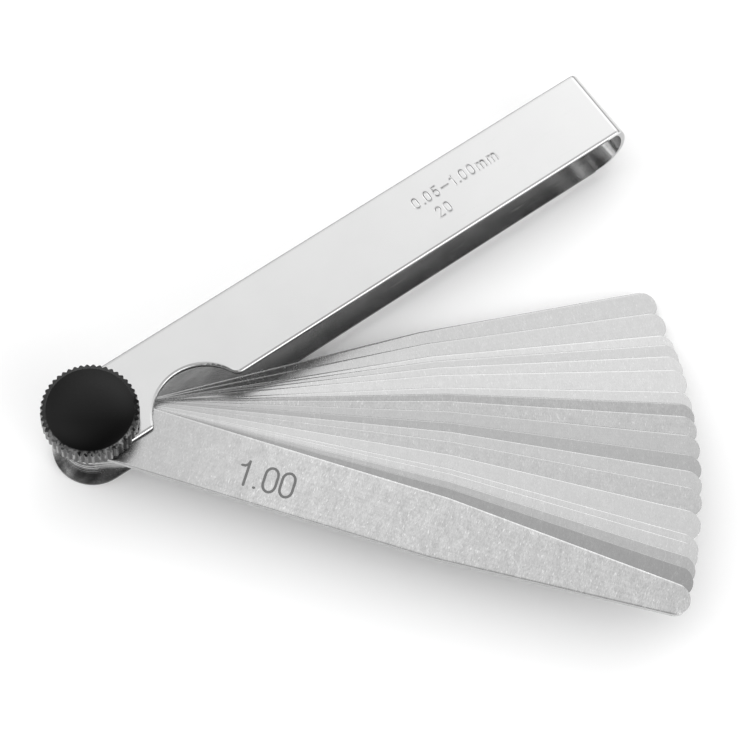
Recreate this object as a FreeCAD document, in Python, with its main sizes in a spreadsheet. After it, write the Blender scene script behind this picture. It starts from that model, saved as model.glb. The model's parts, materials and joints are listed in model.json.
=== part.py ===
import FreeCAD, Part
import math
import os

import Sketcher

# Feeler gauge: twenty blades fanned out of a U-shaped strip holder.
# The origin is on the pivot axis at the underside of the lower leaf.
# +X runs along the holder towards its bend, +Z up the pivot towards the thumb screw,
# and the blades open towards -Y. All sizes are in millimetres.

DIMENSIONS = {
    # blade outline
    "blade_width": 10.0,
    "blade_reach": 95.0,
    "blade_tip_width": 5.0,
    "blade_taper_start": 55.4,
    "blade_hole": 6.1,
    # spacing along the pivot between faces that rub
    "axial_gap": 0.01,
    # holder strip
    "strip_width": 12.8,
    "strip_gauge": 0.9,
    "channel_height": 10.71,
    "bend_start": 96.95,
    "bend_low_radius": 4.2,
    "bend_high_radius": 10.3,
    "bend_corner_radius": 0.2,
    "edge_round": 0.28,
    # finger notch in the side of the holder
    "notch_centre_x": 15.0,
    "notch_centre_drop": 9.2,
    "notch_radius": 8.2,
    "notch_near_round": 0.8,
    "notch_far_round": 1.8,
    # pivot nut
    "nut_barrel": 6.0,
    "nut_spigot": 5.0,
    "nut_thread": 4.1,
    "nut_floor": 0.5,
    "nut_thread_top": 4.1,
    "nut_relief": 4.5,
    "nut_top_drop": 0.3,
    "leaf_hole": 6.1,
    # clamp washer
    "washer_outer": 10.0,
    "washer_hole": 4.3,
    "washer_gauge": 0.35,
    # thumb screw
    "knob_diameter": 14.9,
    "knob_height": 3.9,
    "knob_face": 13.2,
    "knob_bevel": 0.5,
    "knob_foot_bevel": 0.35,
    "knurl_depth": 0.4,
    "knurl_count": 48,
    "screw_diameter": 4.0,
    "screw_end": 0.8,
    "screw_end_bevel": 0.4,
    "knob_turn": 3.75,
}

# Blades from the lower leaf upwards: thickness and the angle each is opened to, in degrees.
BLADES = (
    (0.95, 19.35),
    (0.90, 21.95),
    (0.85, 24.65),
    (0.80, 25.9),
    (0.75, 27.35),
    (0.70, 29.0),
    (0.65, 31.5),
    (0.60, 32.9),
    (0.55, 34.35),
    (0.50, 36.4),
    (0.45, 36.55),
    (0.40, 38.65),
    (0.35, 40.4),
    (0.30, 42.15),
    (0.25, 44.55),
    (0.20, 47.0),
    (0.15, 47.85),
    (0.10, 49.2),
    (0.05, 50.35),
    (1.00, 52.3),
)

ORIGIN_POINT = (-1, 1)
X_AXIS = -1
Y_AXIS = -2
START, END, CENTRE = 1, 2, 3

# Heights used by several pieces, as spreadsheet expressions.
HOLDER_TOP = "(dims.channel_height + 2 * dims.strip_gauge)"
WASHER_BOTTOM = f"({HOLDER_TOP} + dims.axial_gap)"
WASHER_TOP = f"({WASHER_BOTTOM} + dims.washer_gauge)"
KNOB_BOTTOM = f"({WASHER_TOP} + dims.axial_gap)"
KNOB_TOP = f"({KNOB_BOTTOM} + dims.knob_height)"

doc = FreeCAD.newDocument("FeelerGauge")
sheet = doc.addObject("Spreadsheet::Sheet", "dims")


def blade_key(thickness):
    """Name ending for a blade, such as 0_95 for 0.95 mm."""
    return f"{thickness:.2f}".replace(".", "_")


def fill_sheet():
    values = dict(DIMENSIONS)
    for thickness, opening in BLADES:
        key = blade_key(thickness)
        values[f"gauge_{key}"] = thickness
        values[f"open_{key}"] = opening
    for row, (name, value) in enumerate(values.items(), start=1):
        sheet.set(f"A{row}", name)
        sheet.set(f"B{row}", str(value))
        sheet.setAlias(f"B{row}", name)
    doc.recompute()


def number(expression):
    """Value of a spreadsheet expression, in millimetres."""
    return float(sheet.evalExpression(str(expression)))


def new_body(name):
    body = doc.addObject("PartDesign::Body", name)
    body.Label = name
    return body


def new_sketch(body, name, role="XY_Plane", offset=None):
    """Sketch on one of the body's origin planes, raised along its normal if wanted."""
    sketch = body.newObject("Sketcher::SketchObject", name)
    plane = next(item for item in body.Origin.OriginFeatures if item.Role == role)
    sketch.AttachmentSupport = (plane, [""])
    sketch.MapMode = "FlatFace"
    if offset:
        sketch.setExpression(".AttachmentOffset.Base.z", offset)
    return sketch


def add_line(sketch, start, end):
    return sketch.addGeometry(
        Part.LineSegment(FreeCAD.Vector(*start, 0), FreeCAD.Vector(*end, 0)), False)


def add_arc(sketch, centre, radius, start_deg, end_deg):
    """Arc drawn counter-clockwise between two directions in degrees."""
    circle = Part.Circle(FreeCAD.Vector(*centre, 0), FreeCAD.Vector(0, 0, 1), radius)
    return sketch.addGeometry(
        Part.ArcOfCircle(circle, math.radians(start_deg), math.radians(end_deg)), False)


def constrain(sketch, kind, *refs):
    sketch.addConstraint(Sketcher.Constraint(kind, *refs))


def dimension(sketch, kind, refs, expression):
    """Driving dimension of a sketch, tied to the spreadsheet."""
    constraint = Sketcher.Constraint(kind, *refs, number(expression))
    index = sketch.addConstraint(constraint)
    sketch.setExpression(f"Constraints[{index}]", expression)


def place_point(sketch, item, point, across, up):
    """Fix a point of a sketch item at two expressions measured from the origin."""
    for kind, axis, expression in (("DistanceX", Y_AXIS, across), ("DistanceY", X_AXIS, up)):
        if number(expression) == 0:
            constrain(sketch, "PointOnObject", item, point, axis)
        else:
            dimension(sketch, kind, (*ORIGIN_POINT, item, point), expression)


def add_central_circle(sketch, diameter):
    """Circle centred on the sketch origin."""
    radius = number(diameter) / 2
    circle = Part.Circle(FreeCAD.Vector(0, 0, 0), FreeCAD.Vector(0, 0, 1), radius)
    item = sketch.addGeometry(circle, False)
    constrain(sketch, "Coincident", item, CENTRE, *ORIGIN_POINT)
    dimension(sketch, "Diameter", (item,), diameter)


def add_outline(sketch, points):
    """Closed chain of lines through points given as pairs of expressions."""
    corners = [(number(across), number(up)) for across, up in points]
    lines = [add_line(sketch, start, end)
             for start, end in zip(corners, corners[1:] + corners[:1])]
    for line, following in zip(lines, lines[1:] + lines[:1]):
        constrain(sketch, "Coincident", line, END, following, START)
    for line, (across, up) in zip(lines, points):
        place_point(sketch, line, START, across, up)


def add_feature(body, kind, sketch, **settings):
    """Feature made from a sketch; text settings that start with = are expressions."""
    feature = body.newObject(f"PartDesign::{kind}", f"{sketch.Name}_{kind.lower()}")
    feature.Profile = sketch
    for name, value in settings.items():
        if isinstance(value, str) and value.startswith("="):
            feature.setExpression(name, value[1:])
        else:
            setattr(feature, name, value)
    doc.recompute()
    return feature


def turned_body(name, points):
    """Body turned about the pivot axis from half a section of (radius, height) points."""
    body = new_body(name)
    sketch = new_sketch(body, f"{name}_section", "XZ_Plane")
    add_outline(sketch, points)
    add_feature(body, "Revolution", sketch, ReferenceAxis=(sketch, ["V_Axis"]), Angle=360.0)
    return body


def build_blade(thickness, below):
    """One blade: round root about the pivot, parallel sides, long taper, round tip.

    Each blade rests on the one below it; the first rests on the lower leaf.
    """
    key = blade_key(thickness)
    body = new_body(f"blade_{key}")
    sketch = new_sketch(body, f"outline_{key}")
    half = number("dims.blade_width / 2")
    tip = number("dims.blade_tip_width / 2")
    taper = number("dims.blade_taper_start")
    tip_centre = number("dims.blade_reach - dims.blade_tip_width / 2")
    run = tip_centre - taper
    slope = math.atan2(half, run) - math.asin(tip / math.hypot(run, half))
    tangent = (tip_centre + tip * math.sin(slope), tip * math.cos(slope))
    lean = math.degrees(slope)

    root_arc = add_arc(sketch, (0, 0), half, 90, 270)
    low_side = add_line(sketch, (0, -half), (taper, -half))
    low_taper = add_line(sketch, (taper, -half), (tangent[0], -tangent[1]))
    tip_arc = add_arc(sketch, (tip_centre, 0), tip, lean - 90, 90 - lean)
    high_taper = add_line(sketch, tangent, (taper, half))
    high_side = add_line(sketch, (taper, half), (0, half))

    constrain(sketch, "Coincident", root_arc, CENTRE, *ORIGIN_POINT)
    constrain(sketch, "Tangent", root_arc, END, low_side, START)
    constrain(sketch, "Coincident", low_side, END, low_taper, START)
    constrain(sketch, "Tangent", low_taper, END, tip_arc, START)
    constrain(sketch, "Tangent", tip_arc, END, high_taper, START)
    constrain(sketch, "Coincident", high_taper, END, high_side, START)
    constrain(sketch, "Tangent", high_side, END, root_arc, START)
    constrain(sketch, "Horizontal", low_side)
    constrain(sketch, "Horizontal", high_side)
    constrain(sketch, "PointOnObject", tip_arc, CENTRE, X_AXIS)
    dimension(sketch, "Radius", (root_arc,), "dims.blade_width / 2")
    dimension(sketch, "Radius", (tip_arc,), "dims.blade_tip_width / 2")
    for side, point in ((low_side, END), (high_side, START)):
        dimension(sketch, "DistanceX", (*ORIGIN_POINT, side, point), "dims.blade_taper_start")
    dimension(sketch, "DistanceX", (*ORIGIN_POINT, tip_arc, CENTRE),
              "dims.blade_reach - dims.blade_tip_width / 2")
    add_central_circle(sketch, "dims.blade_hole")
    add_feature(body, "Pad", sketch, Length=f"=dims.gauge_{key}")

    body.Placement = FreeCAD.Placement(
        FreeCAD.Vector(0, 0, 0), FreeCAD.Rotation(FreeCAD.Vector(0, 0, -1), 1))
    body.setExpression(".Placement.Rotation.Angle", f"dims.open_{key}")
    if below is None:
        level = "dims.strip_gauge + dims.axial_gap"
    else:
        lower_body, lower_key = below
        level = (f"{lower_body.Name}.Placement.Base.z"
                 f" + (dims.gauge_{lower_key} + dims.axial_gap) * 1 mm")
    body.setExpression(".Placement.Base.z", level)
    doc.recompute()
    return body


def add_strip_side(sketch, bottom, top, extra):
    """One side of the bent strip seen from its edge: lower leaf, three-radius bend, upper leaf.

    extra is what the bend radii grow by on this side. Returns the two leaf lines.
    """
    low_radius = f"(dims.bend_low_radius + {extra})"
    high_radius = f"(dims.bend_high_radius + {extra})"
    corner_radius = f"(dims.bend_corner_radius + {extra})"
    leaf_end = -number("dims.strip_width / 2")
    bend_x = number("dims.bend_start")
    bend_z = number(f"{bottom} + {low_radius}")
    high_x = bend_x + number(f"{low_radius} - {high_radius}")
    corner_z = number(f"{top} - {corner_radius}")
    reach = number(f"{high_radius} - {corner_radius}")
    corner_x = high_x + math.sqrt(reach ** 2 - (corner_z - bend_z) ** 2)
    turn = math.degrees(math.atan2(corner_z - bend_z, corner_x - high_x))

    low_leaf = add_line(sketch, (leaf_end, number(bottom)), (bend_x, number(bottom)))
    low_arc = add_arc(sketch, (bend_x, bend_z), number(low_radius), -90, 0)
    high_arc = add_arc(sketch, (high_x, bend_z), number(high_radius), 0, turn)
    corner_arc = add_arc(sketch, (corner_x, corner_z), number(corner_radius), turn, 90)
    top_leaf = add_line(sketch, (corner_x, number(top)), (leaf_end, number(top)))

    for item, following in ((low_leaf, low_arc), (low_arc, high_arc),
                            (high_arc, corner_arc), (corner_arc, top_leaf)):
        constrain(sketch, "Tangent", item, END, following, START)
    constrain(sketch, "Horizontal", low_arc, END, low_arc, CENTRE)
    constrain(sketch, "Horizontal", low_leaf)
    constrain(sketch, "Horizontal", top_leaf)
    dimension(sketch, "Radius", (low_arc,), low_radius)
    dimension(sketch, "Radius", (high_arc,), high_radius)
    dimension(sketch, "Radius", (corner_arc,), corner_radius)
    place_point(sketch, low_leaf, END, "dims.bend_start", bottom)
    dimension(sketch, "DistanceY", (*ORIGIN_POINT, top_leaf, START), top)
    return low_leaf, top_leaf


def strip_outline_edges(shape):
    """Edges of the strip's outer face, pivot holes left out.

    The strip is blanked from its outer face, so only that side has rolled edges.
    """
    top = number(HOLDER_TOP)
    gauge = number("dims.strip_gauge")
    outer_radii = [number(f"dims.bend_{part}_radius") + gauge for part in ("low", "high", "corner")]
    names = []
    for index, edge in enumerate(shape.Edges, start=1):
        box = edge.BoundBox
        curve = edge.Curve
        across = box.YLength > 0.9 * number("dims.strip_width") and box.XLength < 0.01
        if box.ZLength < 0.01:
            at_pivot = isinstance(curve, Part.Circle) and edge.isClosed()
            outer = abs(box.ZMin) < 0.01 or abs(box.ZMax - top) < 0.01
            chosen = outer and not at_pivot and not across
        else:
            chosen = isinstance(curve, Part.Circle) and any(
                abs(curve.Radius - radius) < 0.001 for radius in outer_radii)
        if chosen:
            names.append(f"Edge{index}")
    return names


def build_holder():
    """Long U bent from flat strip, its leaf ends rounded about the pivot."""
    body = new_body("holder")
    side = new_sketch(body, "strip_side", "XZ_Plane")
    inner_low, inner_top = add_strip_side(
        side, "dims.strip_gauge", "(dims.strip_gauge + dims.channel_height)", "0")
    outer_low, outer_top = add_strip_side(side, "0 * dims.strip_gauge", HOLDER_TOP,
                                          "dims.strip_gauge")
    half = number("dims.strip_width / 2")
    gauge = number("dims.strip_gauge")
    top = number(HOLDER_TOP)
    low_cap = add_line(side, (-half, 0), (-half, gauge))
    top_cap = add_line(side, (-half, top - gauge), (-half, top))
    for cap, first, first_point, last, last_point in (
            (low_cap, outer_low, START, inner_low, START),
            (top_cap, inner_top, END, outer_top, END)):
        constrain(side, "Coincident", cap, START, first, first_point)
        constrain(side, "Coincident", cap, END, last, last_point)
        constrain(side, "Vertical", cap)
        dimension(side, "DistanceX", (cap, START, *ORIGIN_POINT), "dims.strip_width / 2")
    add_feature(body, "Pad", side, Length="=dims.strip_width", SideType="Symmetric")

    cut_shape_edges(body)
    add_leaf_holes(body)
    return body


def cut_shape_edges(body):
    """Round the leaf ends about the pivot and cut the finger notch, through both leaves."""
    half = number("dims.strip_width / 2")
    spare = 2 * half
    ends = new_sketch(body, "end_rounding")
    end_arc = add_arc(ends, (0, 0), half, 90, 270)
    corners = ((0, -half), (0, -spare), (-spare, -spare), (-spare, spare), (0, spare), (0, half))
    chain = [end_arc] + [add_line(ends, first, last)
                         for first, last in zip(corners, corners[1:])]
    for item, following in zip(chain, chain[1:] + chain[:1]):
        constrain(ends, "Coincident", item, END, following, START)
    constrain(ends, "Coincident", end_arc, CENTRE, *ORIGIN_POINT)
    dimension(ends, "Radius", (end_arc,), "dims.strip_width / 2")
    constrain(ends, "PointOnObject", end_arc, START, Y_AXIS)
    constrain(ends, "PointOnObject", end_arc, END, Y_AXIS)
    for line, kind in zip(chain[1:], ("Vertical", "Horizontal", "Vertical",
                                      "Horizontal", "Vertical")):
        constrain(ends, kind, line)
    place_point(ends, chain[3], START, "-dims.strip_width", "-dims.strip_width")
    dimension(ends, "DistanceY", (*ORIGIN_POINT, chain[3], END), "dims.strip_width")
    add_feature(body, "Pocket", ends, Type="ThroughAll", SideType="Symmetric")

    notch = new_sketch(body, "finger_notch")
    centre = (number("dims.notch_centre_x"), -number("dims.notch_centre_drop"))
    radius = number("dims.notch_radius")
    rounds = []
    for name, sign in (("near", -1), ("far", 1)):
        small = number(f"dims.notch_{name}_round")
        rise = small - half - centre[1]
        across = sign * math.sqrt((radius + small) ** 2 - rise ** 2)
        rounds.append((small, centre[0] + across, small - half,
                       math.degrees(math.atan2(rise, across))))
    (near, near_x, near_y, near_turn), (far, far_x, far_y, far_turn) = rounds
    near_arc = add_arc(notch, (near_x, near_y), near, -90, near_turn - 180)
    notch_arc = add_arc(notch, centre, radius, far_turn, near_turn)
    far_arc = add_arc(notch, (far_x, far_y), far, far_turn + 180, 270)
    far_side = add_line(notch, (far_x, -half), (far_x, -spare))
    outside = add_line(notch, (far_x, -spare), (near_x, -spare))
    near_side = add_line(notch, (near_x, -spare), (near_x, -half))
    constrain(notch, "Tangent", near_arc, END, notch_arc, END)
    constrain(notch, "Tangent", notch_arc, START, far_arc, START)
    constrain(notch, "Coincident", far_arc, END, far_side, START)
    constrain(notch, "Coincident", far_side, END, outside, START)
    constrain(notch, "Coincident", outside, END, near_side, START)
    constrain(notch, "Coincident", near_side, END, near_arc, START)
    place_point(notch, notch_arc, CENTRE, "dims.notch_centre_x", "-dims.notch_centre_drop")
    dimension(notch, "Radius", (notch_arc,), "dims.notch_radius")
    dimension(notch, "Radius", (near_arc,), "dims.notch_near_round")
    dimension(notch, "Radius", (far_arc,), "dims.notch_far_round")
    for arc, point in ((near_arc, START), (far_arc, END)):
        dimension(notch, "DistanceY", (*ORIGIN_POINT, arc, point), "-dims.strip_width / 2")
        constrain(notch, "Vertical", arc, point, arc, CENTRE)
    constrain(notch, "Vertical", far_side)
    constrain(notch, "Horizontal", outside)
    constrain(notch, "Vertical", near_side)
    dimension(notch, "DistanceY", (*ORIGIN_POINT, outside, START), "-dims.strip_width")
    add_feature(body, "Pocket", notch, Type="ThroughAll", SideType="Symmetric")


def add_leaf_holes(body):
    """Spigot hole in the lower leaf, sleeve hole in the upper one, then rolled edges."""
    low_hole = new_sketch(body, "lower_hole")
    add_central_circle(low_hole, "dims.nut_spigot")
    add_feature(body, "Pocket", low_hole, Length="=dims.strip_gauge * 2", Reversed=True)
    top_hole = new_sketch(body, "upper_hole", offset=HOLDER_TOP)
    add_central_circle(top_hole, "dims.leaf_hole")
    last = add_feature(body, "Pocket", top_hole, Length="=dims.strip_gauge * 2")

    rounding = body.newObject("PartDesign::Fillet", "edge_rounding")
    rounding.Base = (last, strip_outline_edges(last.Shape))
    rounding.setExpression("Radius", "dims.edge_round")
    doc.recompute()


def build_pivot_nut():
    """Sleeve the blades turn on, its spigot fixed flush in the lower leaf, tapped inside."""
    top = f"({HOLDER_TOP} - dims.nut_top_drop)"
    return turned_body("pivot_nut", (
        ("0", "0"),
        ("dims.nut_spigot / 2", "0"),
        ("dims.nut_spigot / 2", "dims.strip_gauge"),
        ("dims.nut_barrel / 2", "dims.strip_gauge"),
        ("dims.nut_barrel / 2", top),
        ("dims.nut_relief / 2", top),
        ("dims.nut_relief / 2", "dims.nut_thread_top"),
        ("dims.nut_thread / 2", "dims.nut_thread_top"),
        ("dims.nut_thread / 2", "dims.nut_floor"),
        ("0", "dims.nut_floor")))


def build_clamp_washer():
    return turned_body("clamp_washer", (
        ("dims.washer_hole / 2", WASHER_BOTTOM),
        ("dims.washer_outer / 2", WASHER_BOTTOM),
        ("dims.washer_outer / 2", WASHER_TOP),
        ("dims.washer_hole / 2", WASHER_TOP)))


def build_thumb_screw():
    """Screw with a bevelled, straight-knurled knob."""
    body = turned_body("thumb_screw", (
        ("0", "dims.screw_end"),
        ("dims.screw_diameter / 2 - dims.screw_end_bevel", "dims.screw_end"),
        ("dims.screw_diameter / 2", "dims.screw_end + dims.screw_end_bevel"),
        ("dims.screw_diameter / 2", KNOB_BOTTOM),
        ("dims.knob_diameter / 2 - dims.knob_foot_bevel", KNOB_BOTTOM),
        ("dims.knob_diameter / 2", f"{KNOB_BOTTOM} + dims.knob_foot_bevel"),
        ("dims.knob_diameter / 2", f"{KNOB_TOP} - dims.knob_bevel"),
        ("dims.knob_face / 2", KNOB_TOP),
        ("0", KNOB_TOP)))
    groove = new_sketch(body, "knurl_groove", offset=f"{KNOB_BOTTOM} - dims.axial_gap")
    mouth = "(dims.knob_diameter / 2 + dims.knurl_depth)"
    add_outline(groove, (
        ("dims.knob_diameter / 2 - dims.knurl_depth", "0"),
        (mouth, "-2 * dims.knurl_depth"),
        (mouth, "2 * dims.knurl_depth")))
    cut = add_feature(body, "Pocket", groove, Type="ThroughAll", Reversed=True)
    knurl = body.newObject("PartDesign::PolarPattern", "knurl")
    knurl.Originals = [cut]
    knurl.Axis = (groove, ["N_Axis"])
    knurl.Angle = 360.0
    knurl.setExpression("Occurrences", "dims.knurl_count")
    body.Tip = knurl
    body.Placement = FreeCAD.Placement(
        FreeCAD.Vector(0, 0, 0), FreeCAD.Rotation(FreeCAD.Vector(0, 0, 1), 1))
    body.setExpression(".Placement.Rotation.Angle", "dims.knob_turn")
    doc.recompute()
    return body


def check(bodies):
    """Stop if any object failed, or any piece is not one sound solid."""
    failed = [item.Label for item in doc.Objects
              if "Invalid" in item.State or "Error" in item.State]
    if failed:
        raise RuntimeError(f"failed objects: {failed}")
    for body in bodies:
        shape = body.Shape
        if shape.isNull() or not shape.isValid() or len(shape.Solids) != 1:
            raise RuntimeError(f"{body.Label} is not one valid solid")
        print(f"{body.Label}: {shape.Volume:.3f} mm3")


def main():
    fill_sheet()
    bodies = [build_holder(), build_pivot_nut(), build_clamp_washer(), build_thumb_screw()]
    below = None
    for thickness, _ in BLADES:
        blade = build_blade(thickness, below)
        bodies.append(blade)
        below = (blade, blade_key(thickness))
    doc.recompute()
    check(bodies)
    os.makedirs("parts", exist_ok=True)
    for body in bodies:
        body.Shape.exportStep(os.path.join("parts", f"{body.Label}.step"))


main()
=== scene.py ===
import json
import math
from collections import namedtuple

import bmesh
import bpy
from mathutils import Matrix, Vector


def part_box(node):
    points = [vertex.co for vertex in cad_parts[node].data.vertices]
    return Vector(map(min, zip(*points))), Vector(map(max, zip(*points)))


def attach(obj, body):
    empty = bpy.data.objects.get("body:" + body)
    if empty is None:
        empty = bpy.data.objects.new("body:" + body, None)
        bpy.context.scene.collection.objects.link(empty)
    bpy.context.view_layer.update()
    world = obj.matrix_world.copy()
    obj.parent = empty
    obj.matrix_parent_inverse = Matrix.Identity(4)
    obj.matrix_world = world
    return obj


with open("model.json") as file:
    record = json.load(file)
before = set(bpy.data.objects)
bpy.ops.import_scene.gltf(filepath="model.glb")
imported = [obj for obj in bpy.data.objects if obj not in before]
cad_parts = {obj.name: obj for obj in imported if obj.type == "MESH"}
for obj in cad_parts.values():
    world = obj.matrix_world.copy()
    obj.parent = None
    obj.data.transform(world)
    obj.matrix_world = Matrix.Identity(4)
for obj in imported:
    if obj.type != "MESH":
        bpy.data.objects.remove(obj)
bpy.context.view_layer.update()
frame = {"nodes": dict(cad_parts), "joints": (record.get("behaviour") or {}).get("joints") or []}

MM = 0.001

# Camera fitted to the photo's edges: angles in degrees, lens and sensor in millimetres, the rest
# in metres.
CAMERA_AZIMUTH = -49.167
CAMERA_ELEVATION = 67.542
CAMERA_ROLL = 13.92
CAMERA_LENS = 100.38
CAMERA_SENSOR = 36.0
CAMERA_AIM = (0.042198, -0.016734, 0.006)
CAMERA_DISTANCE = 0.3315

# Soft lights: azimuth and elevation in degrees from +X, and strength. The fill is all round.
SKY_LIGHTS = (
    (135.0, 65.0, 1.93),
    (18.0, 42.0, 1.83),
    (54.0, 42.0, 0.71),
    (144.0, 18.0, 2.63),
    (288.0, 18.0, 4.50),
)
SKY_FILL = 0.12
SKY_FOCUS = 9.0

# Half the floor's width in metres, and how far it lies below the lowest face.
FLOOR_HALF = 4.0
FLOOR_DROP = 0.02 * MM

# Brightness of each blade's steel, which differs from one rolled strip to the next.
BLADE_TONE = {
    "blade_0_05": 0.28,
    "blade_0_10": 0.373,
    "blade_0_15": 0.475,
    "blade_0_20": 0.483,
    "blade_0_25": 0.47,
    "blade_0_30": 0.41,
    "blade_0_35": 0.423,
    "blade_0_40": 0.336,
    "blade_0_45": 0.387,
    "blade_0_50": 0.40,
    "blade_0_55": 0.392,
    "blade_0_60": 0.328,
    "blade_0_65": 0.48,
    "blade_0_70": 0.493,
    "blade_0_75": 0.485,
    "blade_0_80": 0.452,
    "blade_0_85": 0.498,
    "blade_0_90": 0.451,
    "blade_0_95": 0.428,
    "blade_1_00": 0.45,
}

# How far the grain lightens or darkens a blade, and the blades whose grain is coarser.
PLAIN_GRAIN = 0.125
COARSE_GRAIN = {"blade_1_00": 0.36, "blade_0_60": 0.22, "blade_0_55": 0.24, "blade_0_30": 0.20}

# Painted shade darkening a blade's faces towards the pivot, and where along it that begins and
# ends.
PIVOT_SHADE = 0.15
PIVOT_SHADE_UP_TO = 10.0 * MM
PIVOT_SHADE_GONE_FROM = 32.0 * MM

# Outline of a blade in plan: half its width, where it starts to taper, and its tip.
BLADE_HALF = 5.0 * MM
TAPER_FROM = 55.4 * MM
TIP_AT = 95.0 * MM
TIP_HALF = 2.36 * MM

# Edges of a blade: the bevel along them, the width over which its faces roll off, which grows with
# its thickness, and the steepest slope there.
BLADE_BEVEL = 0.045 * MM
ROLL_WIDTH = 0.16 * MM
ROLL_GROWTH = 0.14
EDGE_SLOPE = 0.4

# Walls of the blades: painted light and shade in streaks up to one distance along them and ground
# steel from another, the streaks darkened by painted shade up to one height and left clear from
# another, and the width of the painted dark line along each seam.
ROOT_SHADE_UP_TO = 0.5 * MM
GROUND_FROM = 5.0 * MM
DARK_UP_TO = 2.0 * MM
LIT_FROM = 6.5 * MM
SEAM = 0.10 * MM

# Strip of the holder: its thickness, the height of the bright band on its cut edges, where the
# rest is torn and painted nearly black, partly as painted shade where the strip meets the blades,
# and the length of the bend, where nothing is torn.
STRIP_GAUGE = 0.9 * MM
CUT_BAND = 0.40 * MM
BEND_LENGTH = 5.0 * MM

# Tolerance when a height is compared with the strip's inner faces.
FACE_SLACK = 0.02 * MM

# Inside of the strip: painted reflection of the dark stack up to one distance from the pivot, and
# only smeared from another.
STACK_REFLECTION_UP_TO = 5.0 * MM
SMEARED_FROM = 12.0 * MM

# Finger notch of the strip, its rounded edge, and how far in from that its faces sag.
NOTCH_CENTRE = (15.0 * MM, -9.2 * MM, 0.0)
NOTCH_RADIUS = 8.2 * MM
ROUNDED = 0.28 * MM
SAG = 0.18 * MM

# Way across the knob to the side whose bevel is scuffed and lightened by painted sheen. Painted
# light lightens the face towards the other side.
SHEEN_SIDE = (-0.56, -0.83, 0.0)

# Crown shaded onto the knob's face: its drop at the rim, once with the square and once with the
# fourth power of the radius.
CROWN = 0.8 * MM

# Height of the fine relief in the grain of a surface.
RELIEF = 0.01 * MM


# ---------------------------------------------------------------- node helpers

class Graph:
    """Short names for building a material's node tree."""

    def __init__(self, tree):
        self.tree = tree

    def node(self, kind, **settings):
        made = self.tree.nodes.new(kind)
        for name, value in settings.items():
            setattr(made, name, value)
        return made

    def link(self, source, target):
        self.tree.links.new(source, target)

    def feed(self, socket, value):
        if isinstance(value, bpy.types.NodeSocket):
            self.link(value, socket)
        else:
            socket.default_value = value

    def math(self, operation, *values, clamp=False):
        made = self.node("ShaderNodeMath", operation=operation, use_clamp=clamp)
        for socket, value in zip(made.inputs, values):
            self.feed(socket, value)
        return made.outputs[0]

    def scaled(self, vector, scale):
        made = self.node("ShaderNodeVectorMath", operation="MULTIPLY")
        self.feed(made.inputs[0], vector)
        made.inputs[1].default_value = scale
        return made.outputs[0]

    def noise(self, vector, scale, detail=2.0, roughness=0.5):
        made = self.node("ShaderNodeTexNoise", noise_dimensions="3D")
        self.feed(made.inputs["Vector"], vector)
        made.inputs["Scale"].default_value = scale
        made.inputs["Detail"].default_value = detail
        made.inputs["Roughness"].default_value = roughness
        return made.outputs["Fac"]

    def stretched(self, vector, scale, detail=2.0, roughness=0.5):
        """Noise with its own frequency, per metre, along each axis."""
        return self.noise(self.scaled(vector, scale), 1.0, detail, roughness)

    def remap(self, value, low, high, to_low, to_high, smooth=False):
        made = self.node("ShaderNodeMapRange", clamp=True)
        if smooth:
            made.interpolation_type = "SMOOTHSTEP"
        self.feed(made.inputs["Value"], value)
        made.inputs["From Min"].default_value = low
        made.inputs["From Max"].default_value = high
        made.inputs["To Min"].default_value = to_low
        made.inputs["To Max"].default_value = to_high
        return made.outputs["Result"]

    def tone(self, value, dark, light):
        """Neutral colour that goes from one brightness to another."""
        made = self.node("ShaderNodeMix", data_type="RGBA")
        self.feed(made.inputs["Factor"], value)
        made.inputs["A"].default_value = (dark, dark, dark, 1.0)
        made.inputs["B"].default_value = (light, light, light, 1.0)
        return made.outputs["Result"]

    def blend(self, share, first, second):
        made = self.node("ShaderNodeMix", data_type="RGBA")
        self.feed(made.inputs["Factor"], share)
        self.link(first, made.inputs["A"])
        self.link(second, made.inputs["B"])
        return made.outputs["Result"]

    def bump(self, height, strength, distance, normal=None):
        made = self.node("ShaderNodeBump")
        made.inputs["Strength"].default_value = strength
        made.inputs["Distance"].default_value = distance
        self.feed(made.inputs["Height"], height)
        if normal is not None:
            self.link(normal, made.inputs["Normal"])
        return made.outputs["Normal"]


def new_material(name):
    """Empty Principled material: itself, its graph, its shader and the node's own coordinates."""
    material = bpy.data.materials.new(name)
    material.use_nodes = True
    tree = material.node_tree
    tree.nodes.clear()
    graph = Graph(tree)
    output = graph.node("ShaderNodeOutputMaterial")
    shader = graph.node("ShaderNodeBsdfPrincipled")
    graph.link(shader.outputs["BSDF"], output.inputs["Surface"])
    place = graph.node("ShaderNodeTexCoord").outputs["Object"]
    return material, graph, shader, place


# ---------------------------------------------------------------- materials

def opening(blade):
    """Angle in radians that a blade is swung out of the holder at rest."""
    joint = next(item for item in frame["joints"] if item["child"] == blade)
    return math.radians(joint["range_deg"][1])


def facing_share(graph, axis):
    """Size of the surface normal along one world axis, 0 to 1."""
    facing = graph.node("ShaderNodeSeparateXYZ")
    graph.link(graph.node("ShaderNodeNewGeometry").outputs["True Normal"], facing.inputs[0])
    return graph.math("ABSOLUTE", facing.outputs[axis])


def upright_share(graph):
    """1 on walls that stand upright, 0 on faces that lie flat."""
    return graph.remap(facing_share(graph, "Z"), 0.2, 0.5, 1.0, 0.0)


def sides_distance(graph, x, y, half):
    """Distance in metres inwards from two straight sides and the round end at the pivot."""
    behind = graph.math("MINIMUM", x, 0.0)
    squares = graph.math("MULTIPLY_ADD", y, y, graph.math("MULTIPLY", behind, behind))
    return graph.math("SUBTRACT", half, graph.math("SQRT", squares))


def coordinates(graph, vector):
    """The three coordinates of a vector, as sockets."""
    parts = graph.node("ShaderNodeSeparateXYZ")
    graph.link(vector, parts.inputs[0])
    return parts.outputs["X"], parts.outputs["Y"], parts.outputs["Z"]


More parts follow.
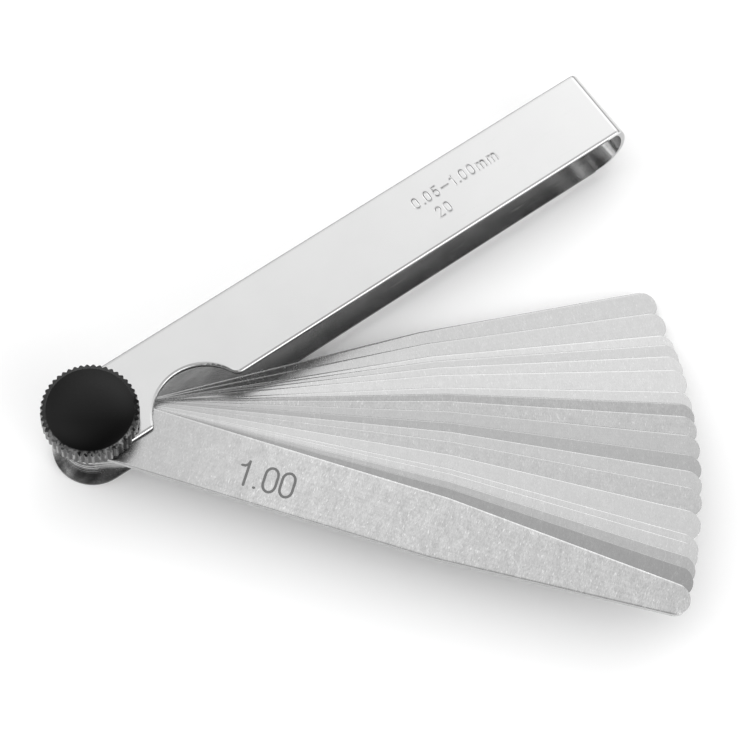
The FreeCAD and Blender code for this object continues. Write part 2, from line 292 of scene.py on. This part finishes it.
def blade_face(graph, x, shade, tone, grain):
    """Broad faces of a blade: its own tone, darkened towards the pivot by painted shade."""
    clear = graph.tone(shade, tone * (1.0 - grain), min(1.0, tone * (1.0 + grain)))
    # Painted shade: the faces near the pivot, under the top leaf, are darkened as if shaded there.
    pivot_shaded = graph.tone(shade, tone * (1.0 - PIVOT_SHADE - 0.4 * grain),
                      tone * (1.0 - PIVOT_SHADE + 0.4 * grain))
    near_pivot = graph.remap(x, PIVOT_SHADE_UP_TO, PIVOT_SHADE_GONE_FROM, 1.0, 0.0, smooth=True)
    return graph.blend(near_pivot, clear, pivot_shaded)


def blade_wall(graph, place, x, shade, bottom, top):
    """Walls of a blade: ground steel; round the pivot, painted light and shade in streaks,
    darkened by painted shade lower down; a painted dark line along both seams.
    """
    wall_streak_noise = graph.stretched(place, (28.0, 28.0, 900.0), roughness=0.6)
    _, _, height = coordinates(graph, place)
    ground = graph.tone(shade, 0.48, 0.60)
    # Painted light and shade: bright streaks stand for glints on the stacked edges round the
    # pivot, and lower down painted shade takes over.
    painted_streaks = graph.tone(graph.remap(wall_streak_noise, 0.46, 0.55, 0.0, 1.0), 0.02, 0.90)
    low_shade = graph.remap(height, DARK_UP_TO, LIT_FROM, 0.85, 0.0, smooth=True)
    root_shade = graph.blend(low_shade, painted_streaks, graph.tone(wall_streak_noise, 0.02, 0.08))
    wall = graph.blend(graph.remap(x, ROOT_SHADE_UP_TO, GROUND_FROM, 1.0, 0.0), ground, root_shade)
    # Painted shade: a dark line along the top and bottom of each wall, where the blades lie on one
    # another.
    half = (top - bottom) / 2.0
    seam = min(SEAM, 0.5 * half)
    from_middle = graph.math("ABSOLUTE", graph.math("SUBTRACT", height, bottom + half))
    by_seam = graph.remap(from_middle, half - seam, half, 0.0, 1.0)
    return graph.blend(by_seam, wall, graph.tone(wall_streak_noise, 0.03, 0.09))


def blade_relief(graph, x, y, mixed, upright, thickness):
    """Normal of a blade's surface: faces that roll off at their edges, and fine grain."""
    roll = ROLL_WIDTH + ROLL_GROWTH * thickness
    half = graph.remap(x, TAPER_FROM, TIP_AT, BLADE_HALF, TIP_HALF)
    inset = graph.remap(sides_distance(graph, x, y, half), 0.0, roll, 1.0, 0.0)
    drop = graph.math("MULTIPLY", inset, inset)
    rolled = graph.math("MULTIPLY", graph.math("SUBTRACT", 1.0, upright),
                        graph.math("SUBTRACT", 1.0, drop))
    return graph.bump(mixed, 0.06, RELIEF, graph.bump(rolled, 1.0, EDGE_SLOPE * roll / 2.0))


def blade_material(blade, tone, grain):
    """Hardened strip steel: short marks across it and faint rolling lines along it.

    tone is the brightness of its faces and grain how far the marks lighten or darken them.
    """
    material, graph, shader, place = new_material(f"steel_{blade}")
    bottom, top = (corner.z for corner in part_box(blade))
    turned = graph.node("ShaderNodeMapping")
    graph.link(place, turned.inputs["Vector"])
    turned.inputs["Rotation"].default_value = (0.0, 0.0, opening(blade))
    along = turned.outputs["Vector"]
    x, y, _ = coordinates(graph, along)

    marks = graph.stretched(along, (5400.0, 2300.0, 900.0), roughness=0.55)
    patches = graph.stretched(along, (900.0, 480.0, 300.0), detail=3.0, roughness=0.6)
    rolling = graph.stretched(along, (60.0, 5200.0, 900.0))
    flecks = graph.stretched(along, (4400.0, 1300.0, 700.0), detail=1.0)
    mixed = graph.math("MULTIPLY_ADD", marks, 0.50, graph.math("MULTIPLY", patches, 0.35))
    mixed = graph.math("MULTIPLY_ADD", rolling, 0.15, mixed)
    shade = graph.math("MULTIPLY_ADD", graph.remap(flecks, 0.64, 0.76, 0.0, 1.0), 0.75,
                       graph.remap(mixed, 0.22, 0.78, 0.0, 1.0), clamp=True)

    upright = upright_share(graph)
    face = blade_face(graph, x, shade, tone, grain)
    wall = blade_wall(graph, place, x, shade, bottom, top)
    graph.link(graph.blend(upright, face, wall), shader.inputs["Base Color"])
    shader.inputs["Metallic"].default_value = 1.0
    graph.link(graph.remap(mixed, 0.3, 0.7, 0.22, 0.29), shader.inputs["Roughness"])
    graph.link(blade_relief(graph, x, y, mixed, upright, top - bottom), shader.inputs["Normal"])
    return material


def strip_edge_distance(graph, place, half):
    """Distance in metres from the strip's sides, its round ends and the finger notch."""
    x, y, _ = coordinates(graph, place)
    from_centre = graph.node("ShaderNodeVectorMath", operation="DISTANCE")
    graph.link(graph.scaled(place, (1.0, 1.0, 0.0)), from_centre.inputs[0])
    from_centre.inputs[1].default_value = NOTCH_CENTRE
    return graph.math("MINIMUM", sides_distance(graph, x, y, half),
                      graph.math("SUBTRACT", from_centre.outputs["Value"], NOTCH_RADIUS))


def strip_inside(graph, place, x):
    """Faces inside the channel: smeared, and at the pivot a painted reflection of the dark stack.
    """
    smears = graph.stretched(place, (160.0, 700.0, 700.0), detail=3.0, roughness=0.6)
    smeared = graph.tone(graph.remap(smears, 0.3, 0.7, 0.0, 1.0), 0.40, 0.54)
    # Painted reflection: near the pivot the inner faces are darkened as if reflecting the dark
    # blade stack.
    painted_stack_reflection = graph.tone(graph.remap(smears, 0.35, 0.65, 0.0, 1.0), 0.16, 0.46)
    at_pivot = graph.remap(x, STACK_REFLECTION_UP_TO, SMEARED_FROM, 1.0, 0.0)
    return graph.blend(at_pivot, smeared, painted_stack_reflection)


def plated_material(name):
    """Bright plated strip: nearly smooth outside; inside the channel smeared, a little darker as
    painted shade, and darkest at the pivot.
    """
    material, graph, shader, place = new_material(name)
    low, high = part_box("holder")
    middle = (low.z + high.z) / 2.0
    x, _, z = coordinates(graph, place)
    cloud = graph.noise(place, 110.0, 6.0, 0.72)
    upright = upright_share(graph)
    sideways = graph.remap(facing_share(graph, "Y"), 0.2, 0.5, 0.0, 1.0)
    within = graph.math("MULTIPLY",
                        graph.math("GREATER_THAN", z, low.z + STRIP_GAUGE - FACE_SLACK),
                        graph.math("LESS_THAN", z, high.z - STRIP_GAUGE + FACE_SLACK))

    from_middle = graph.math("ABSOLUTE", graph.math("SUBTRACT", z, middle))
    # Torn part of the cut walls, painted nearly black: the rough fracture zone, darkened further
    # as painted shade along where the strip meets the blades.
    torn_and_shaded = graph.math("LESS_THAN", from_middle, middle - low.z - CUT_BAND)
    torn_and_shaded = graph.math("MULTIPLY", torn_and_shaded, upright)
    torn_and_shaded = graph.math("MULTIPLY", torn_and_shaded, graph.math("LESS_THAN", x, high.x - BEND_LENGTH))

    # Walls facing ±Y: the bright cut band, lightened further as painted highlight.
    outside = graph.blend(graph.math("MULTIPLY", upright, sideways),
                          graph.tone(cloud, 0.480, 0.530), graph.tone(cloud, 0.80, 0.88))
    faces = graph.blend(within, outside, strip_inside(graph, place, x))
    graph.link(graph.blend(torn_and_shaded, faces, graph.tone(cloud, 0.004, 0.018)),
               shader.inputs["Base Color"])
    shader.inputs["Metallic"].default_value = 1.0

    hair = graph.stretched(place, (120.0, 6000.0, 6000.0))
    scratch = graph.remap(hair, 0.66, 0.74, 0.0, 1.0)
    rough = graph.math("ADD", graph.remap(cloud, 0.3, 0.7, 0.12, 0.17),
                       graph.math("MULTIPLY", scratch, 0.12))
    graph.link(rough, shader.inputs["Roughness"])
    sag = graph.remap(strip_edge_distance(graph, place, high.y), ROUNDED, ROUNDED + SAG, 0.0, 1.0)
    sagged = graph.bump(graph.math("MAXIMUM", sag, within), 1.0, 0.22 * SAG)
    graph.link(graph.bump(scratch, 0.15, RELIEF, sagged), shader.inputs["Normal"])
    return material


def black_material(name):
    """Blackened knob: smooth crowned face, lightened by painted light towards one side; bevel
    scuffed and given painted sheen on the other side; grey worn knurl crests brightened as painted
    glints.
    """
    material, graph, shader, place = new_material(name)
    low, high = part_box("thumb_screw")
    radius = (high.x - low.x) / 2.0
    flat = graph.scaled(place, (1.0 / radius, 1.0 / radius, 0.0))
    length = graph.node("ShaderNodeVectorMath", operation="LENGTH")
    graph.link(flat, length.inputs[0])
    out = length.outputs["Value"]
    towards = graph.node("ShaderNodeVectorMath", operation="DOT_PRODUCT")
    graph.link(flat, towards.inputs[0])
    towards.inputs[1].default_value = SHEEN_SIDE
    side = towards.outputs["Value"]
    flank = upright_share(graph)
    grain = graph.noise(place, 3500.0, 3.0, 0.6)
    worn = graph.stretched(place, (1500.0, 1500.0, 420.0), detail=3.0, roughness=0.6)

    # Painted light: the face is lightened towards the side away from the scuffed bevel, as the
    # light falls on it, with a little grain.
    face_light = graph.math("MULTIPLY", graph.remap(side, -0.95, 0.25, 1.0, 0.0),
                      graph.remap(grain, 0.2, 0.8, 0.85, 1.15))
    # Scuffed bevel: a real wear texture, lightened on one side only as painted sheen.
    scuffs_and_sheen = graph.tone(graph.remap(worn, 0.40, 0.62, 0.0, 1.0), 0.008, 0.18)
    bevel = graph.math("MULTIPLY", graph.remap(out, 0.885, 0.905, 0.0, 1.0),
                       graph.remap(side, 0.0, 0.7, 0.0, 1.0, smooth=True))
    top = graph.blend(bevel, graph.tone(face_light, 0.0004, 0.017), scuffs_and_sheen)
    # Knurl crests: worn metal, lightened further as painted glints.
    crest = graph.math("MULTIPLY", graph.remap(out, 0.978, 0.997, 0.0, 1.0),
                       graph.remap(worn, 0.40, 0.60, 0.05, 1.0))
    crest_wear_and_glints = graph.tone(crest, 0.006, 0.30)
    graph.link(graph.blend(flank, top, crest_wear_and_glints), shader.inputs["Base Color"])
    graph.link(graph.math("MAXIMUM", flank, bevel), shader.inputs["Metallic"])
    shader.inputs["Specular IOR Level"].default_value = 0.11
    graph.link(graph.remap(grain, 0.3, 0.7, 0.17, 0.25), shader.inputs["Roughness"])

    square = graph.math("MULTIPLY", out, out)
    crown = graph.math("MULTIPLY", square, graph.math("MULTIPLY_ADD", square, -CROWN, -CROWN))
    graph.link(graph.bump(grain, 0.15, RELIEF, graph.bump(crown, 1.0, 1.0)),
               shader.inputs["Normal"])
    return material


def plain_steel_material(name):
    """Turned steel with an even fine grain."""
    material, graph, shader, place = new_material(name)
    grain = graph.noise(place, 2500.0, 3.0, 0.6)
    graph.link(graph.tone(grain, 0.50, 0.60), shader.inputs["Base Color"])
    shader.inputs["Metallic"].default_value = 1.0
    graph.link(graph.remap(grain, 0.3, 0.7, 0.25, 0.35), shader.inputs["Roughness"])
    graph.link(graph.bump(grain, 0.2, RELIEF), shader.inputs["Normal"])
    return material


def etched_material(name):
    """Dark etched ink, a little uneven, with steel grain showing through."""
    material, graph, shader, place = new_material(name)
    grain = graph.noise(place, 5200.0, 3.0, 0.6)
    graph.link(graph.tone(grain, 0.075, 0.16), shader.inputs["Base Color"])
    shader.inputs["Metallic"].default_value = 0.0
    graph.link(graph.remap(grain, 0.3, 0.7, 0.45, 0.65), shader.inputs["Roughness"])
    graph.link(graph.bump(grain, 0.3, RELIEF), shader.inputs["Normal"])
    return material


def groove_material(name):
    """Dark metal along the bottom of a stamped stroke, painted shade standing for its recess."""
    material, graph, shader, place = new_material(name)
    grain = graph.noise(place, 3200.0, 3.0, 0.6)
    uneven = graph.noise(place, 1100.0)
    graph.link(graph.tone(graph.remap(uneven, 0.38, 0.62, 0.0, 1.0), 0.09, 0.32),
               shader.inputs["Base Color"])
    shader.inputs["Metallic"].default_value = 1.0
    graph.link(graph.remap(grain, 0.3, 0.7, 0.30, 0.42), shader.inputs["Roughness"])
    graph.link(graph.bump(grain, 0.3, RELIEF), shader.inputs["Normal"])
    return material


def dress(node, material):
    """Give all of a CAD node one material."""
    for slot in frame["nodes"][node].material_slots:
        slot.material = material


def soften_blade(blade):
    """Break a blade's sharp edges with a small rounded bevel."""
    item = frame["nodes"][blade]
    low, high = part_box(blade)
    item.modifiers.new("join", "WELD").merge_threshold = 1e-7
    bevel = item.modifiers.new("edge", "BEVEL")
    bevel.width = min(BLADE_BEVEL, 0.3 * (high.z - low.z))
    bevel.segments = 2
    bevel.limit_method = "ANGLE"
    bevel.angle_limit = math.radians(40.0)
    bevel.use_clamp_overlap = False
    bevel.harden_normals = True


# ---------------------------------------------------------------- size marks

def arc(centre_x, centre_y, wide, high, start, end, steps=10):
    """Points along part of an ellipse, angles in degrees."""
    points = []
    for step in range(steps + 1):
        angle = math.radians(start + (end - start) * step / steps)
        points.append((centre_x + wide * math.cos(angle), centre_y + high * math.sin(angle)))
    return points


# Characters of a plain narrow stroke alphabet one unit high: width, then the strokes.
# A stroke is (closed, points).
GLYPHS = {
    "0": (0.50, [(True, arc(0.25, 0.70, 0.25, 0.30, 0, 180, 12)
                  + arc(0.25, 0.30, 0.25, 0.30, 180, 360, 12))]),
    "1": (0.26, [(False, [(0.26, 0.0), (0.26, 1.0)]),
                 (False, [(0.0, 0.775), (0.12, 0.79), (0.20, 0.84), (0.26, 0.96)])]),
    "2": (0.50, [(False, arc(0.25, 0.74, 0.25, 0.26, 170, -25, 10) + [(0.0, 0.0), (0.50, 0.0)])]),
    "3": (0.50, [(False, arc(0.24, 0.76, 0.23, 0.24, 155, -80, 10)
                  + arc(0.24, 0.27, 0.26, 0.27, 75, -155, 10))]),
    "4": (0.54, [(False, [(0.40, 0.0), (0.40, 1.0), (0.0, 0.27), (0.54, 0.27)])]),
    "5": (0.50, [(False, [(0.46, 1.0), (0.08, 1.0), (0.03, 0.53)]
                  + arc(0.24, 0.32, 0.26, 0.32, 130, -150, 12))]),
    "6": (0.50, [(True, arc(0.25, 0.30, 0.25, 0.30, 0, 345, 18)),
                 (False, [(0.0, 0.34)] + arc(0.26, 0.70, 0.26, 0.30, 180, 40, 9))]),
    "7": (0.50, [(False, [(0.0, 1.0), (0.50, 1.0), (0.16, 0.0)])]),
    "8": (0.50, [(True, arc(0.25, 0.76, 0.21, 0.24, 0, 345, 16)),
                 (True, arc(0.25, 0.26, 0.25, 0.26, 0, 345, 16))]),
    "9": (0.50, [(True, arc(0.25, 0.70, 0.25, 0.30, 0, 345, 18)),
                 (False, [(0.50, 0.66)] + arc(0.24, 0.30, 0.26, 0.30, 0, -140, 9))]),
    ".": (0.0, [(False, [(0.06, 0.01), (0.08, 0.01)])]),
    "-": (0.72, [(False, [(0.0, 0.46), (0.72, 0.46)])]),
    "m": (0.86, [(False, [(0.0, 0.0), (0.0, 0.70)]),
                 (False, [(0.0, 0.45)] + arc(0.215, 0.48, 0.215, 0.22, 170, 0, 7) + [(0.43, 0.0)]),
                 (False, [(0.43, 0.45)] + arc(0.645, 0.48, 0.215, 0.22, 170, 0, 7)
                  + [(0.86, 0.0)])]),
}

# Sections across a stroke: (side, lift), both as shares of half the width and of the height.
FLAT_SECTION = ((-1.0, 0.0), (-0.9, 1.0), (0.9, 1.0), (1.0, 0.0))
STAMPED_SECTION = ((-1.0, 0.0), (-0.82, 0.7), (-0.64, 1.0), (-0.46, 0.5), (-0.28, 0.05),
                   (0.28, 0.05), (0.46, 0.5), (0.64, 1.0), (0.82, 0.7), (1.0, 0.0))

# How a mark is made. height, stroke (its width) and lift (its thickness) are in metres. The gap
# between characters, and that on either side of a point, are shares of the height.
Style = namedtuple("Style", "height gap point_gap stroke lift section")
ETCHED = Style(3.9 * MM, 0.185, 0.36, 0.42 * MM, 0.002 * MM, FLAT_SECTION)
BURR = Style(1.78 * MM, 0.42, 0.40, 0.42 * MM, 0.026 * MM, STAMPED_SECTION)
GROOVE = BURR._replace(stroke=0.14 * MM, lift=0.010 * MM, section=FLAT_SECTION)

# Lower left corner of the marks: on a blade, and of the two rows on the holder.
SIZE_START = (24.0 * MM, -2.62 * MM)
STAMPS = (
    ("stamp_range", "0.05-1.00mm", (62.75 * MM, 0.85 * MM)),
    ("stamp_count", "20", (65.1 * MM, -2.45 * MM)),
)

# Gap under a mark, which keeps it clear of its face, and how much higher than the stroke before
# it each further stroke of a character lies, as a share of the lift.
MARK_GAP = 0.0005 * MM
STROKE_STEP = 0.4

# Angles in degrees of the rows that round off the end of a stroke.
CAP_ANGLES = (30.0, 60.0, 85.0)


def stroke_rows(points, closed, half):
    """Centre, sideways direction and half width of every row of a stroke, with round ends."""
    rows = []
    count = len(points)
    for index, point in enumerate(points):
        here = Vector(point)
        before = Vector(points[index - 1]) if closed or index else None
        after = Vector(points[(index + 1) % count]) if closed or index < count - 1 else None
        ways = [(here - before).normalized()] if before is not None else []
        ways += [(after - here).normalized()] if after is not None else []
        way = sum(ways, Vector((0.0, 0.0))).normalized()
        reach = half / max(0.5, way.dot(ways[0]))
        rows.append((here, Vector((-way.y, way.x)), reach))
    if not closed:
        for end, step in ((0, -1), (-1, 1)):
            here, side, _ = rows[end]
            way = Vector((side.y, -side.x)) * step
            cap = [(here + way * half * math.sin(math.radians(turn)), side,
                    half * math.cos(math.radians(turn))) for turn in CAP_ANGLES]
            rows = cap[::-1] + rows if end == 0 else rows + cap
    return rows


def add_stroke(shape, points, closed, half, lift, section, place):
    """Ribbon with the given section along a stroke."""
    rings = []
    for here, side, reach in stroke_rows(points, closed, half):
        ring = []
        for across, up in section:
            spot = here + side * reach * across
            ring.append(shape.verts.new(place @ Vector((spot.x, spot.y, lift * up))))
        rings.append(ring)
    pairs = list(zip(rings, rings[1:]))
    if closed:
        pairs.append((rings[-1], rings[0]))
    for first, second in pairs:
        for index in range(len(section) - 1):
            shape.faces.new((first[index + 1], first[index], second[index], second[index + 1]))


def mark_shape(letters, start, style, place):
    """Mesh of a row of characters whose lower left corner is start."""
    shape = bmesh.new()
    pen, base = start
    for letter, following in zip(letters, letters[1:] + " "):
        width, strokes = GLYPHS[letter]
        for index, (closed, points) in enumerate(strokes):
            spots = [(pen + x * style.height, base + y * style.height) for x, y in points]
            add_stroke(shape, spots, closed, style.stroke / 2.0,
                       style.lift * (1.0 + STROKE_STEP * index), style.section, place)
        gap = style.point_gap if "." in (letter, following) else style.gap
        pen += (width + gap) * style.height
    bmesh.ops.recalc_face_normals(shape, faces=shape.faces)
    for face in shape.faces:
        face.smooth = True
    return shape


def add_mark(name, shape, material, body):
    """Piece made of a mark's mesh, with the given material, that rides on a body."""
    mesh = bpy.data.meshes.new(name)
    shape.to_mesh(mesh)
    shape.free()
    mesh.materials.append(material)
    piece = bpy.data.objects.new(name, mesh)
    bpy.context.scene.collection.objects.link(piece)
    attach(piece, body)


def on_top(node, turn=0.0):
    """Placement on a CAD node's top face, turned in radians about the pivot."""
    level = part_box(node)[1].z + MARK_GAP
    return Matrix.Rotation(turn, 4, "Z") @ Matrix.Translation((0.0, 0.0, level))


def add_sizes():
    """Etched thickness on every blade."""
    etched = etched_material("etched_mark")
    for blade in BLADE_TONE:
        size = blade[-4:]
        place = on_top(blade, -opening(blade))
        shape = mark_shape(size.replace("_", "."), SIZE_START, ETCHED, place)
        add_mark(f"size_{size}", shape, etched, blade)


def add_stamps():
    """Range and number of the blades, stamped into the holder: raised burr and, along the groove,
    a dark strip of painted shade.
    """
    groove = groove_material("stamp_groove_shade")
    plate = frame["nodes"]["holder"].material_slots[0].material
    place = on_top("holder")
    for name, letters, start in STAMPS:
        for part, style, material in (("burr", BURR, plate), ("groove", GROOVE, groove)):
            shape = mark_shape(letters, start, style, place)
            add_mark(f"{name}_{part}", shape, material, "holder_body")


# ---------------------------------------------------------------- stage

def add_floor():
    """Plain pale table."""
    mesh = bpy.data.meshes.new("floor")
    corners = [(x * FLOOR_HALF, y * FLOOR_HALF, -FLOOR_DROP)
               for x, y in ((-1, -1), (1, -1), (1, 1), (-1, 1))]
    mesh.from_pydata(corners, [], [(0, 1, 2, 3)])
    floor = bpy.data.objects.new("floor", mesh)
    bpy.context.scene.collection.objects.link(floor)
    material, _, shader, _ = new_material("floor")
    shader.inputs["Base Color"].default_value = (0.9, 0.9, 0.9, 1.0)
    shader.inputs["Roughness"].default_value = 0.8
    mesh.materials.append(material)


def add_world():
    """Studio of a few broad soft lights, each a smooth lobe of the sky."""
    world = bpy.data.worlds.new("studio")
    bpy.context.scene.world = world
    world.use_nodes = True
    tree = world.node_tree
    tree.nodes.clear()
    graph = Graph(tree)
    output = graph.node("ShaderNodeOutputWorld")
    background = graph.node("ShaderNodeBackground")
    background.inputs["Color"].default_value = (1.0, 1.0, 1.0, 1.0)
    direction = graph.node("ShaderNodeTexCoord").outputs["Generated"]
    total = SKY_FILL
    for azimuth, elevation, strength in SKY_LIGHTS:
        azimuth, elevation = math.radians(azimuth), math.radians(elevation)
        towards = graph.node("ShaderNodeVectorMath", operation="DOT_PRODUCT")
        graph.link(direction, towards.inputs[0])
        towards.inputs[1].default_value = (math.cos(azimuth) * math.cos(elevation),
                                           math.sin(azimuth) * math.cos(elevation),
                                           math.sin(elevation))
        away = graph.math("SUBTRACT", towards.outputs["Value"], 1.0)
        lobe = graph.math("EXPONENT", graph.math("MULTIPLY", away, SKY_FOCUS))
        total = graph.math("MULTIPLY_ADD", lobe, strength, total)
    graph.link(total, background.inputs["Strength"])
    graph.link(background.outputs[0], output.inputs["Surface"])


def add_camera():
    """Camera at the photo's angle, aimed at the middle of the tool."""
    azimuth = math.radians(CAMERA_AZIMUTH)
    elevation = math.radians(CAMERA_ELEVATION)
    roll = math.radians(CAMERA_ROLL)
    back = Vector((math.sin(azimuth) * math.cos(elevation),
                   -math.cos(azimuth) * math.cos(elevation),
                   math.sin(elevation)))
    across = (-back).cross(Vector((0.0, 0.0, 1.0))).normalized()
    up = across.cross(-back)
    axis_x = math.cos(roll) * across + math.sin(roll) * up
    axis_y = math.cos(roll) * up - math.sin(roll) * across
    lens = bpy.data.cameras.new("camera")
    lens.sensor_width = CAMERA_SENSOR
    lens.lens = CAMERA_LENS
    lens.clip_start = 0.01
    camera = bpy.data.objects.new("camera", lens)
    bpy.context.scene.collection.objects.link(camera)
    spot = Vector(CAMERA_AIM) + back * CAMERA_DISTANCE
    facing = Matrix((axis_x, axis_y, back)).transposed().to_4x4()
    camera.matrix_world = Matrix.Translation(spot) @ facing
    bpy.context.scene.camera = camera


for blade, tone in BLADE_TONE.items():
    dress(blade, blade_material(blade, tone, COARSE_GRAIN.get(blade, PLAIN_GRAIN)))
    soften_blade(blade)

dress("holder", plated_material("plated_strip"))
dress("thumb_screw", black_material("black_steel"))
dress("pivot_nut", plain_steel_material("nut_steel"))
dress("clamp_washer", plain_steel_material("washer_steel"))

add_sizes()
add_stamps()
add_floor()
add_world()
add_camera()
bpy.context.scene.view_settings.view_transform = "Standard"
